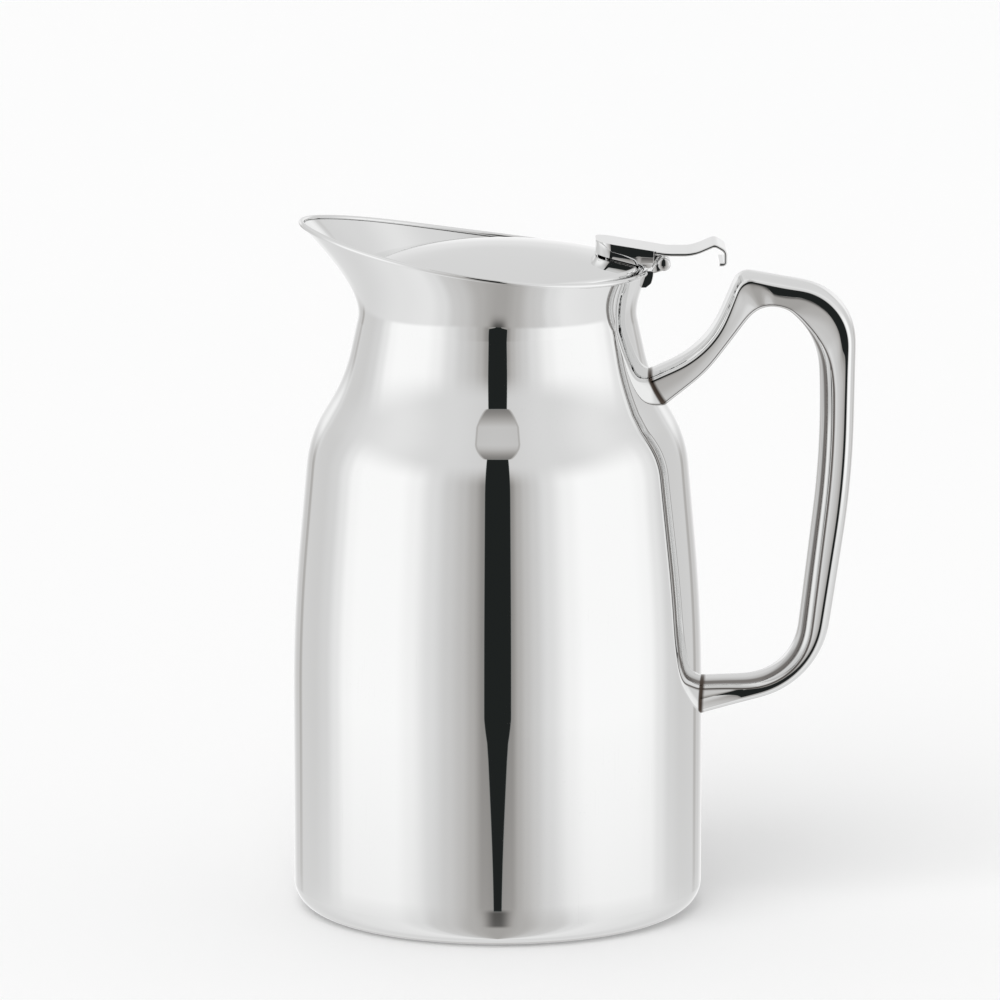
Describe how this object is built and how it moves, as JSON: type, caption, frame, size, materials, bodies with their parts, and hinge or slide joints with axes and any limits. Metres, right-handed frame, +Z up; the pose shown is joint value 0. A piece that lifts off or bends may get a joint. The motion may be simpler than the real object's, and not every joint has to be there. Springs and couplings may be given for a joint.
{
  "type": "thermal carafe with flip lid",
  "caption": "Mirror-polished double-wall carafe with a flared pouring lip, a domed lid hinged at the rear with a thumb lever, and a hollow side handle.",
  "frame": {"origin": "body axis at the plane the foot stands on", "axes": "+Z up along the body's axis, +X towards the handle, so the pouring lip points to -X and the hinge pin lies along Y"},
  "size_m": [0.1588, 0.116, 0.1962],
  "materials": {
    "polished_steel": "mirror-polished stainless steel with fine hairline scratches",
    "satin_steel": "satin stainless steel",
    "foil": "bright reflective foil",
    "getter": "dull sintered metal",
    "foam": "rigid foam"
  },
  "bodies": {
    "jug": {"outer_shell": "polished_steel", "mouth_collar": "polished_steel", "inner_liner": "satin_steel", "liner_bottom": "satin_steel", "liner_foil": "foil", "getter_ring": "getter", "closing_plate": "satin_steel", "seal_plug": "getter", "base_cap": "satin_steel", "handle_left": "polished_steel", "handle_right": "polished_steel", "hinge_bracket": "polished_steel", "hinge_pin": "satin_steel"},
    "lid": {"lid_dome": "polished_steel", "lid_pan": "satin_steel", "lid_insulation": "foam", "lid_hinge_arm": "polished_steel", "thumb_lever": "polished_steel"}
  },
  "joints": [
    {"name": "lid_hinge", "type": "hinge", "parent": "jug", "child": "lid", "pos_m": [0.0465, 0, 0.1844], "axis": [0, 1, 0], "range_deg": [0, 95]}
  ]
}
